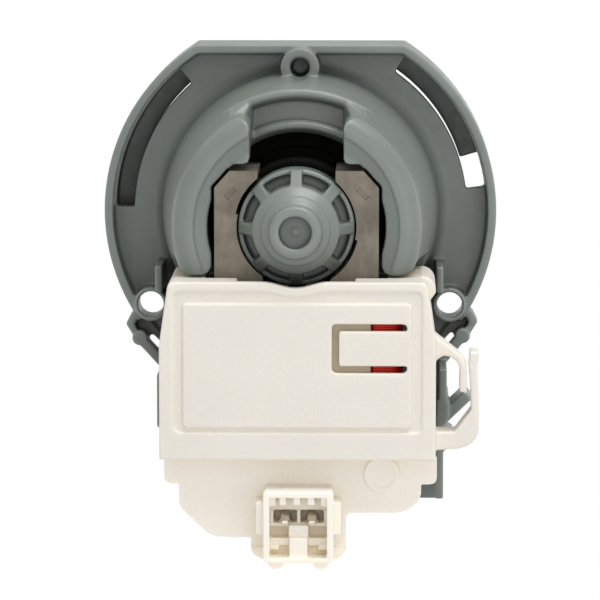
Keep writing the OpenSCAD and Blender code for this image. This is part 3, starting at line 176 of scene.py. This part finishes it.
# Floor from its middle to its rim, in metres, as radius and rise
FLOOR_PROFILE = [(4.0, 0.0), (4.5, 0.04), (5.0, 0.16), (5.4, 0.4), (5.6, 0.8)]
FLOOR_SIDES = 96
FLOOR_TONE = 0.15
FLOOR_ROUGH = 0.9
FLOOR_GLOW = 1.0


def link(name, data):
    piece = bpy.data.objects.new(name, data)
    bpy.context.scene.collection.objects.link(piece)
    return piece


def place(x, z, depth):
    """Point at a depth behind the mounting face, from millimetres."""
    return Vector((x, -depth, z)) * MM


def polar(radius, angle, depth):
    turn = math.radians(angle)
    return place(radius * math.cos(turn), radius * math.sin(turn), depth)


def full_turn(sides):
    return [2 * math.pi * k / sides for k in range(sides)]


def make_camera():
    azimuth = math.radians(CAMERA_AZIMUTH)
    elevation = math.radians(CAMERA_ELEVATION)
    flat = math.cos(elevation)
    back = Vector((math.sin(azimuth) * flat, -math.cos(azimuth) * flat, math.sin(elevation)))
    data = bpy.data.cameras.new("camera")
    data.lens = CAMERA_LENS
    data.sensor_width = CAMERA_SENSOR
    data.clip_end = CAMERA_REACH
    camera = link("camera", data)
    camera.location = CAMERA_PLACE
    camera.rotation_mode = "QUATERNION"
    camera.rotation_quaternion = (-back).to_track_quat("-Z", "Y")
    bpy.context.scene.camera = camera


# Materials

# Values between which a noise mostly lies, and a narrower span for stains
NOISE_SPAN = (0.3, 0.7)
STAIN_SPAN = (0.35, 0.65)
# Scale of clouds, stains and changes of gloss, per metre
CLOUD_SCALE = 55
STAIN_SCALE = 160
GLOSS_SCALE = 420
# Darkest grain, and the span of noise in which it fades
GRAIN_TONE = (0.93, 0.93, 0.93)
GRAIN_SPAN = (0.25, 0.6)
# Paler edges, partly wear and partly painted highlight: how far they reach, in millimetres, and the span in
# which they fade
EDGE_REACH = 0.8
EDGE_SPAN = (0.55, 0.95)
# Span of openness in which the painted light and shade of a hollow fade
HOLLOW_SPAN = (0.25, 0.9)
OPENNESS_RAYS = 6
# Change of roughness over a plastic and over a metal
PLASTIC_GLOSS = (-0.05, 0.05)
METAL_GLOSS = (-0.06, 0.08)
# How far light goes into a white plastic: by colour, and in millimetres
GLOW_COLOURS = (1, 0.8, 0.5)
GLOW_DEPTH = 3
WHITE = (1, 1, 1)


def new_material(name):
    material = bpy.data.materials.new(name)
    material.use_nodes = True
    return material, material.node_tree, material.node_tree.nodes["Principled BSDF"]


def noise(tree, scale, detail=3, stretch=(1, 1, 1)):
    coordinates = tree.nodes.new("ShaderNodeTexCoord")
    mapping = tree.nodes.new("ShaderNodeMapping")
    mapping.inputs["Scale"].default_value = stretch
    texture = tree.nodes.new("ShaderNodeTexNoise")
    texture.inputs["Scale"].default_value = scale
    texture.inputs["Detail"].default_value = detail
    tree.links.new(coordinates.outputs["Object"], mapping.inputs["Vector"])
    tree.links.new(mapping.outputs["Vector"], texture.inputs["Vector"])
    return texture.outputs["Fac"]


def ramp(tree, factor, stops):
    node = tree.nodes.new("ShaderNodeValToRGB")
    ends = node.color_ramp.elements
    while len(ends) < len(stops):
        ends.new(0.5)
    for end, (position, colour) in zip(ends, stops):
        end.position = position
        end.color = (*colour, 1)
    tree.links.new(factor, node.inputs["Fac"])
    return node.outputs["Color"]


def toned(tree, factor, first, last, span=NOISE_SPAN):
    """Colour from first to last, as a factor goes through a span."""
    return ramp(tree, factor, [(span[0], first), (span[1], last)])


def spread(tree, factor, low, high, span=NOISE_SPAN):
    """Number from low to high, as a factor goes through a span."""
    node = tree.nodes.new("ShaderNodeMapRange")
    node.inputs["From Min"].default_value = span[0]
    node.inputs["From Max"].default_value = span[1]
    node.inputs["To Min"].default_value = low
    node.inputs["To Max"].default_value = high
    tree.links.new(factor, node.inputs["Value"])
    return node.outputs["Result"]


def mixed(tree, factor, first, second, kind="MIX"):
    node = tree.nodes.new("ShaderNodeMix")
    node.data_type = "RGBA"
    node.blend_type = kind
    if isinstance(factor, float):
        node.inputs["Factor"].default_value = factor
    else:
        tree.links.new(factor, node.inputs["Factor"])
    tree.links.new(first, node.inputs["A"])
    tree.links.new(second, node.inputs["B"])
    return node.outputs["Result"]


def add_bump(tree, shader, height, distance):
    node = tree.nodes.new("ShaderNodeBump")
    node.inputs["Distance"].default_value = distance
    node.inputs["Strength"].default_value = 1
    tree.links.new(height, node.inputs["Height"])
    tree.links.new(node.outputs["Normal"], shader.inputs["Normal"])


def openness(tree, reach, inside=False):
    """How open the surface lies, or how far from an edge where it looks inside."""
    node = tree.nodes.new("ShaderNodeAmbientOcclusion")
    node.samples = OPENNESS_RAYS
    node.inside = inside
    node.only_local = inside
    node.inputs["Distance"].default_value = reach * MM
    return node.outputs["AO"]


def shade(colour, factor):
    return tuple(min(1, c * factor) for c in colour)


def moulded(name, colour, rough, mottle=0.04, grain=0.02, grain_scale=2600, edge=1.0, soft=0.0, gloss=0.5,
            painted_hollow_light=None, painted_hollow_reach=10):
    """Plastic or rubber with cloudy tone, fine grain, edges paled by wear and painted highlight, painted
    hollow light and shade.
    """
    material, tree, shader = new_material(name)
    cloud = noise(tree, CLOUD_SCALE, 4)
    fine = noise(tree, grain_scale, 2)
    base = toned(tree, cloud, shade(colour, 1 - mottle), shade(colour, 1 + mottle))
    tone = mixed(tree, 1.0, base, toned(tree, fine, GRAIN_TONE, WHITE, GRAIN_SPAN), "MULTIPLY")
    # Edges paled partly by wear and partly as painted highlight
    if edge != 1.0:
        worn_and_highlit_edge = toned(tree, cloud, shade(colour, edge), shade(colour, edge + mottle))
        away = spread(tree, openness(tree, EDGE_REACH, True), 0, 1, EDGE_SPAN)
        tone = mixed(tree, away, worn_and_highlit_edge, tone)
    # Painted shade in hollows, darker where the surface is shut in; on cover and carrier a painted warm
    # glow
    if painted_hollow_light:
        painted_hollow_tone = toned(tree, cloud, painted_hollow_light, shade(painted_hollow_light, 1 + mottle))
        clear = spread(tree, openness(tree, painted_hollow_reach), 0, 1, HOLLOW_SPAN)
        tone = mixed(tree, clear, painted_hollow_tone, tone)
    tree.links.new(tone, shader.inputs["Base Color"])
    low, high = PLASTIC_GLOSS
    roughness = spread(tree, noise(tree, GLOSS_SCALE, 3), rough + low, rough + high)
    tree.links.new(roughness, shader.inputs["Roughness"])
    shader.inputs["Specular IOR Level"].default_value = gloss
    if soft:
        shader.inputs["Subsurface Weight"].default_value = soft
        shader.inputs["Subsurface Radius"].default_value = GLOW_COLOURS
        shader.inputs["Subsurface Scale"].default_value = GLOW_DEPTH * MM
    add_bump(tree, shader, fine, grain * MM)
    return material


def metal(name, dark, light, rough, stretch=(1, 1, 1), grain_scale=900, grain=0.01, metallic=1.0):
    """Metal with fine streaks and broader stains."""
    material, tree, shader = new_material(name)
    shader.inputs["Metallic"].default_value = metallic
    streak = noise(tree, grain_scale, 4, stretch)
    stain = noise(tree, STAIN_SCALE, 5)
    tone = mixed(tree, 0.5, toned(tree, streak, dark, light), toned(tree, stain, dark, light, STAIN_SPAN))
    tree.links.new(tone, shader.inputs["Base Color"])
    low, high = METAL_GLOSS
    tree.links.new(spread(tree, streak, rough + low, rough + high), shader.inputs["Roughness"])
    add_bump(tree, shader, streak, grain * MM)
    return material


# Painted warm glow in the hollows of cover and carrier, standing in for light shining through the plastic
COVER_PAINTED_GLOW = (0.88, 0.80, 0.65)
MATERIALS = {
    # Body: edges paled by wear and painted highlight, painted shade in its hollows
    "body_plastic": moulded("body_plastic", (0.168, 0.190, 0.170), 0.36, mottle=0.07, grain=0.025,
                            edge=1.55, painted_hollow_light=(0.068, 0.081, 0.072), painted_hollow_reach=22),
    # Cover: painted warm glow in its hollows
    "cover_plastic": moulded("cover_plastic", (0.68, 0.645, 0.588), 0.4, mottle=0.015, soft=0.25,
                             painted_hollow_light=COVER_PAINTED_GLOW, painted_hollow_reach=5),
    # Carrier: paler copy of the cover plastic as painted light, with the cover's painted warm glow in its
    # hollows
    "cover_plastic_painted_lit": moulded("cover_plastic_painted_lit", (0.81, 0.765, 0.695), 0.4, mottle=0.015, soft=0.25,
                               painted_hollow_light=COVER_PAINTED_GLOW, painted_hollow_reach=5),
    "bobbin_plastic": moulded("bobbin_plastic", (0.76, 0.73, 0.65), 0.45, soft=0.15),
    "bearing_plastic": moulded("bearing_plastic", (0.60, 0.59, 0.55), 0.4, edge=1.1),
    "impeller_plastic": moulded("impeller_plastic", (0.020, 0.021, 0.023), 0.38, edge=1.6),
    "black_rubber": moulded("black_rubber", (0.003, 0.003, 0.002), 0.8, mottle=0.2, grain=0.05, gloss=0.08),
    "core_steel": metal("core_steel", (0.108, 0.094, 0.073), (0.235, 0.207, 0.168), 0.5,
                        stretch=(1, 1, 0.4), grain_scale=700, metallic=0.6),
    "shaft_steel": metal("shaft_steel", (0.45, 0.45, 0.46), (0.6, 0.6, 0.62), 0.22, stretch=(1, 0.05, 1)),
    "tinned_contact": metal("tinned_contact", (0.6, 0.58, 0.52), (0.8, 0.78, 0.72), 0.3),
    "enamel_wire": moulded("enamel_wire", (0.62, 0.016, 0.006), 0.36, mottle=0.12, gloss=0.3),
    "protector_case": moulded("protector_case", (0.43, 0.365, 0.26), 0.5),
    "bush_graphite": moulded("bush_graphite", (0.03, 0.03, 0.03), 0.5, edge=1.4),
    "ferrite": moulded("ferrite", (0.022, 0.022, 0.024), 0.45, edge=1.5),
}


def dress(piece, node):
    piece.data.materials.clear()
    piece.data.materials.append(MATERIALS[FINISHES[node]])


# Shapes

def add_bands(shape, rings):
    """Faces between each ring of points and the next."""
    for first, second in zip(rings, rings[1:]):
        for i in range(len(first)):
            j = (i + 1) % len(first)
            shape.faces.new((first[i], first[j], second[j], second[i]))


def join_rings(shape, rings):
    """Closed shape through rings of points."""
    add_bands(shape, rings)
    shape.faces.new(reversed(rings[0]))
    shape.faces.new(rings[-1])


def add_disc(shape, front, back, radius, sides=32):
    """Disc on the pump's axis."""
    middle = Matrix.Translation(place(0, 0, (front + back) / 2))
    upright = Matrix.Rotation(math.radians(90), 4, "X")
    bmesh.ops.create_cone(shape, cap_ends=True, segments=sides, radius1=radius * MM, radius2=radius * MM,
                          depth=(back - front) * MM, matrix=middle @ upright)


def add_plate(shape, outline, depths):
    join_rings(shape, [[shape.verts.new(place(x, z, depth)) for x, z in outline] for depth in depths])


def add_hull(shape, corners):
    points = [shape.verts.new(corner) for corner in corners]
    bmesh.ops.convex_hull(shape, input=points)


def add_tube(shape, points, radius, sides=8):
    """Closed round tube along a row of points, in metres."""
    rings = []
    aside = None
    for i, point in enumerate(points):
        along = (points[min(i + 1, len(points) - 1)] - points[max(i - 1, 0)]).normalized()
        aside = along.orthogonal() if aside is None else aside - along * aside.dot(along)
        aside.normalize()
        over = along.cross(aside)
        spokes = [aside * math.cos(t) + over * math.sin(t) for t in full_turn(sides)]
        rings.append([shape.verts.new(point + radius * spoke) for spoke in spokes])
    join_rings(shape, rings)


def add_strip(shape, path, x, z, width, thick):
    """Bent strip through points of (depth, height above z), in millimetres."""
    half = width / 2
    corners = [(-half, 1), (half, 1), (half, -1), (-half, -1)]
    rings = []
    for i, (depth, rise) in enumerate(path):
        before, after = path[max(i - 1, 0)], path[min(i + 1, len(path) - 1)]
        run, climb = after[0] - before[0], after[1] - before[1]
        size = math.hypot(run, climb)
        lift, push = run / size * thick / 2, -climb / size * thick / 2
        ring = [place(x + dx, z + rise + s * lift, depth + s * push) for dx, s in corners]
        rings.append([shape.verts.new(point) for point in ring])
    join_rings(shape, rings)


def plain_copy(node):
    shape = bmesh.new()
    shape.from_mesh(frame["nodes"][node].data)
    bmesh.ops.remove_doubles(shape, verts=shape.verts, dist=WELD * MM)
    return shape


def as_mesh(name, shape):
    bmesh.ops.recalc_face_normals(shape, faces=shape.faces)
    mesh = bpy.data.meshes.new(name)
    shape.to_mesh(mesh)
    shape.free()
    return mesh


def as_piece(name, mesh, node, sharp_angle=SHARP_ANGLE):
    """Piece that rides with a node's body and has its finish."""
    mesh.shade_smooth()
    mesh.set_sharp_from_angle(angle=math.radians(sharp_angle))
    piece = link(name, mesh)
    dress(piece, node)
    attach(piece, BODIES[node])
    return piece


# Moulded pieces

def rounded(shape, cell, rounds):
    """Mesh of closed shapes as one moulding, with its edges rounded."""
    rough = link("rough", as_mesh("rough", shape))
    grid = rough.modifiers.new("grid", "REMESH")
    grid.mode = "VOXEL"
    grid.voxel_size = cell * MM
    soft = rough.modifiers.new("soft", "SMOOTH")
    soft.factor = SMOOTHING
    soft.iterations = rounds
    fewer = rough.modifiers.new("fewer", "DECIMATE")
    fewer.ratio = KEPT_FACES
    graph = bpy.context.evaluated_depsgraph_get()
    mesh = bpy.data.meshes.new_from_object(rough.evaluated_get(graph))
    bpy.data.objects.remove(rough)
    return mesh


def arc_points(radius, first, last, depth, steps=24):
    return [polar(radius, first + (last - first) * i / steps, depth) for i in range(steps + 1)]


def body_details(shape):
    """Ledge ridges, horn saddles, toes and creases, webs behind the struts and gate mark of the body."""
    for radius, section_r, reach in LEDGE_RIDGES:
        ridge = arc_points(radius, 90 - reach, 90 + reach, LEDGE_DEPTH)
        add_tube(shape, ridge, section_r * MM, RIDGE_SIDES)
    for side in (1, -1):
        add_hull(shape, [place(side * x, z, depth) for x, z, depth in HORN_SADDLE])
        add_plate(shape, [(side * x, z) for x, z in HORN_TOE], HORN_TOE_DEPTHS)
    for x, z in STRUT_HEADS:
        side = math.copysign(1, x)
        add_plate(shape, [(x + side * out, z + up) for out, up in EAR_WEB], EAR_WEB_DEPTHS)
    radius, depth, section_r, first, last = CREST_CREASE
    for start, end in ((first, last), (180 - first, 180 - last)):
        add_tube(shape, arc_points(radius, start, end, depth, CREASE_STEPS), section_r * MM)
    mark_r, mark_h, floor = GATE_MARK
    add_disc(shape, floor - mark_h, floor + mark_h, mark_r)


def carrier_details(shape):
    """Rounded toes that run from the carrier's tab into the socket's feet."""
    for outline in CARRIER_TOES:
        add_plate(shape, outline, CARRIER_TOE_DEPTHS)


def leaf_details(node):
    """Maker of the spring leaf that is folded over a blade, down to its tip."""
    low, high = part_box(node)
    middle = (Vector(low) + Vector(high)) / 2 / MM

    def add_leaf(shape):
        add_strip(shape, LEAF_PATH, middle.x, middle.z, *LEAF_SIZE)

    return add_leaf


DETAILS = {
    "pump_body": body_details,
    "terminal_carrier": carrier_details,
    **{"terminal_" + side: leaf_details("terminal_" + side) for side in SIDES},
}


def moulding(node):
    shape = plain_copy(node)
    if node in DETAILS:
        DETAILS[node](shape)
    mesh = rounded(shape, CELLS[node], OTHER_ROUNDS.get(node, ROUNDS))
    piece = as_piece(node + "_moulding", mesh, node)
    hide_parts(node)


# Windings

def turn_outline(low, high, corner, arc_steps=5, straight_steps=20):
    """Points round one turn of a winding, each with the way that it faces."""
    middle, half = (low + high) / 2, (high - low) / 2
    quarters = ((1, 1), (-1, 1), (-1, -1), (1, -1))
    centres = [(sx * (half.x - corner), sy * (half.y - corner)) for sx, sy in quarters]
    arcs = []
    for k, (cx, cy) in enumerate(centres):
        turns = [math.radians(90 * (k + i / arc_steps)) for i in range(arc_steps + 1)]
        facings = [Vector((math.cos(t), math.sin(t), 0)) for t in turns]
        arcs.append([(middle + Vector((cx, cy, 0)) + corner * facing, facing) for facing in facings])
    outline = []
    for k, arc in enumerate(arcs):
        end, facing = arc[-1]
        start = arcs[(k + 1) % len(arcs)][0][0]
        outline += arc
        outline += [(end.lerp(start, i / straight_steps), facing) for i in range(1, straight_steps)]
    return outline


def smooth_step(value):
    value = min(1, max(0, value))
    return value * value * (3 - 2 * value)


def winding(side):
    """Close helix of enamelled wire, which bulges beside the thermal protector."""
    chance = random.Random(side)
    low, high = (Vector(corner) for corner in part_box("coil_" + side + "_wire"))
    wire = WIRE_R * MM
    inner_low, inner_high = low + Vector((wire, wire, wire)), high - Vector((wire, wire, wire))
    outline = turn_outline(inner_low, inner_high, TURN_CORNER * MM)
    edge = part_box("thermal_protector")[1][0] - wire
    turns = int((inner_high.z - inner_low.z) / (TURN_PITCH * wire))
    pitch = (inner_high.z - inner_low.z) / turns
    points = []
    for turn in range(turns):
        swell = chance.uniform(-TURN_JITTER, 0) * MM
        for k, (point, facing) in enumerate(outline):
            beside = smooth_step((point.x - edge) / (BULGE_RUN * MM)) * max(0, -facing.y)
            out = facing * (swell + beside * PROTECTOR_BULGE * MM)
            drop = pitch * (turn + k / len(outline))
            points.append(Vector((point.x + out.x, point.y + out.y, inner_high.z - drop)))
    shape = bmesh.new()
    add_tube(shape, points, wire, WIRE_SIDES)
    node = "coil_" + side
    piece = as_piece(node + "_winding", as_mesh("winding", shape), node + "_wire")
    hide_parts(node, node + "_wire")


# Stator core

def section(node, y):
    """Corners, triangles and outer edges of a node's cut at one depth."""
    shape = plain_copy(node)
    whole = shape.verts[:] + shape.edges[:] + shape.faces[:]
    bmesh.ops.bisect_plane(shape, geom=whole, plane_co=(0, y, 0), plane_no=(0, 1, 0),
                           clear_inner=True, clear_outer=True)
    bmesh.ops.remove_doubles(shape, verts=shape.verts, dist=WELD * MM)
    bmesh.ops.triangle_fill(shape, use_beauty=True, edges=shape.edges[:], normal=(0, 1, 0))
    shape.verts.index_update()
    corners = [(v.co.x, v.co.z) for v in shape.verts]
    faces = [[v.index for v in face.verts] for face in shape.faces]
    rim = [[v.index for v in edge.verts] for edge in shape.edges if len(edge.link_faces) == 1]
    shape.free()
    return corners, faces, rim


def add_sheet(shape, cut, front, back, shift):
    corners, faces, rim = cut
    near = [shape.verts.new((x + shift[0], front, z + shift[1])) for x, z in corners]
    far = [shape.verts.new((x + shift[0], back, z + shift[1])) for x, z in corners]
    for face in faces:
        shape.faces.new([near[i] for i in face])
        shape.faces.new([far[i] for i in reversed(face)])
    for i, j in rim:
        shape.faces.new((near[i], near[j], far[j], far[i]))


def stacked_core():
    """Core of punched sheets, with its dimples in the rearmost one."""
    chance = random.Random("core")
    low, high = (Vector(corner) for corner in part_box("stator_core"))
    count = round((high.y - low.y) / (SHEET_T * MM))
    plain = section("stator_core", (low.y + high.y) / 2)
    dimpled = section("stator_core", low.y + DIMPLE_CUT * MM)
    shape = bmesh.new()
    for i in range(count):
        start = low.y + (high.y - low.y) * i / count
        shift = [0, 0] if i == 0 else [chance.uniform(-SHEET_JITTER, 0) * MM for axis in "xz"]
        end = start + (high.y - low.y) / count - (SHEET_GAP * MM if i < count - 1 else 0)
        add_sheet(shape, dimpled if i == 0 else plain, start, end, shift)
    piece = as_piece("stator_core_sheets", as_mesh("sheets", shape), "stator_core", SHEET_SHARP_ANGLE)
    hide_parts("stator_core")


# Stage

def make_floor():
    """Pale floor, round and wide, that rises gently at its rim."""
    mesh = bpy.data.meshes.new("floor")
    shape = bmesh.new()
    rings = []
    for radius, rise in FLOOR_PROFILE:
        height = cad_low.z + rise
        ring = [(radius * math.cos(t), radius * math.sin(t), height) for t in full_turn(FLOOR_SIDES)]
        rings.append([shape.verts.new(point) for point in ring])
    add_bands(shape, rings)
    shape.faces.new(rings[0])
    shape.to_mesh(mesh)
    shape.free()
    mesh.shade_smooth()
    floor = link("floor", mesh)
    material, tree, shader = new_material("floor_white")
    shader.inputs["Base Color"].default_value = (FLOOR_TONE, FLOOR_TONE, FLOOR_TONE, 1)
    shader.inputs["Roughness"].default_value = FLOOR_ROUGH
    shader.inputs["Specular IOR Level"].default_value = 0
    shader.inputs["Emission Color"].default_value = (*WHITE, 1)
    shader.inputs["Emission Strength"].default_value = FLOOR_GLOW
    mesh.materials.append(material)


def lamp(name, kind, place_from, target, power):
    data = bpy.data.lights.new(name, kind)
    data.energy = power
    piece = link(name, data)
    piece.location = place_from
    piece.rotation_mode = "QUATERNION"
    piece.rotation_quaternion = (Vector(target) - Vector(place_from)).to_track_quat("-Z", "Y")
    return data


def make_light():
    """Studio dome that is bright above and dim below, with a sun through it and a softbox."""
    world = bpy.data.worlds.new("studio")
    world.use_nodes = True
    tree = world.node_tree
    sky = tree.nodes["Background"]
    direction = tree.nodes.new("ShaderNodeTexCoord")
    split = tree.nodes.new("ShaderNodeSeparateXYZ")
    tree.links.new(direction.outputs["Generated"], split.inputs["Vector"])
    height = spread(tree, split.outputs["Z"], 0, 1, (-1, 1))
    dome = ramp(tree, height, [(stop, (tone, tone, tone)) for stop, tone in DOME_TONES])
    tree.links.new(dome, sky.inputs["Color"])
    sky.inputs["Strength"].default_value = DOME_STRENGTH
    bpy.context.scene.world = world
    middle = (cad_low + cad_high) / 2
    key = lamp("key", "SUN", SUN_FROM, middle, SUN_STRENGTH)
    key.angle = math.radians(SUN_ANGLE)
    softbox = lamp("softbox", "AREA", SOFTBOX_PLACE, middle, SOFTBOX_POWER)
    softbox.shape = "DISK"
    softbox.size = SOFTBOX_SIZE


make_camera()
make_floor()
make_light()

for node, solid in frame["nodes"].items():
    dress(solid, node)
for node in CELLS:
    moulding(node)
for side in SIDES:
    winding(side)
stacked_core()

bpy.context.scene.view_settings.view_transform = "Standard"
